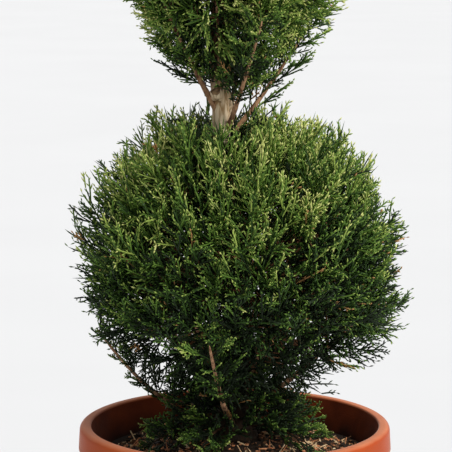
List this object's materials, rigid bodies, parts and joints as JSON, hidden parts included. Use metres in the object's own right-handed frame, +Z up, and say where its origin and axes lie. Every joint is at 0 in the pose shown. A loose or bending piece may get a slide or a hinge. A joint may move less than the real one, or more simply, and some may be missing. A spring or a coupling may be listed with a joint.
{
  "type": "potted ball topiary",
  "caption": "Clipped evergreen topiary with a large ball and a smaller ball of foliage on a bare-necked trunk, growing in bark compost in a round clay pot.",
  "frame": {"origin": "on the floor, under the middle of the pot", "axes": "+Z up along the plant's height; the picture looks along +Y, so +X is to its right"},
  "size_m": [0.3239, 0.3191, 0.8458],
  "materials": {
    "clay": "matt unglazed terracotta",
    "compost": "damp bark compost",
    "trunk_bark": "rough grey-brown bark",
    "bough_bark": "smooth reddish-brown bark",
    "foliage": "scale leaves, slightly waxy"
  },
  "bodies": {
    "root": {"pot": "clay", "soil": "compost", "trunk": "trunk_bark", "lower_bough_1": "bough_bark", "lower_bough_2": "bough_bark", "lower_bough_3": "bough_bark", "lower_bough_4": "bough_bark", "lower_bough_5": "bough_bark", "lower_bough_6": "bough_bark", "lower_bough_7": "bough_bark", "lower_bough_8": "bough_bark", "lower_bough_9": "bough_bark", "lower_bough_10": "bough_bark", "lower_skirt_1": "foliage", "lower_skirt_2": "foliage", "lower_skirt_3": "foliage", "lower_skirt_4": "foliage", "lower_skirt_5": "foliage", "lower_ball": "foliage", "upper_bough_1": "bough_bark", "upper_bough_2": "bough_bark", "upper_bough_3": "bough_bark", "upper_bough_4": "bough_bark", "upper_bough_5": "bough_bark", "upper_bough_6": "bough_bark", "upper_bough_7": "bough_bark", "upper_bough_8": "bough_bark", "upper_skirt_1": "foliage", "upper_skirt_2": "foliage", "upper_skirt_3": "foliage", "upper_skirt_4": "foliage", "upper_skirt_5": "foliage", "upper_ball": "foliage", "foot_spray_1": "foliage", "foot_spray_2": "foliage", "foot_spray_3": "foliage", "foot_spray_4": "foliage", "foot_spray_5": "foliage"}
  },
  "joints": []
}
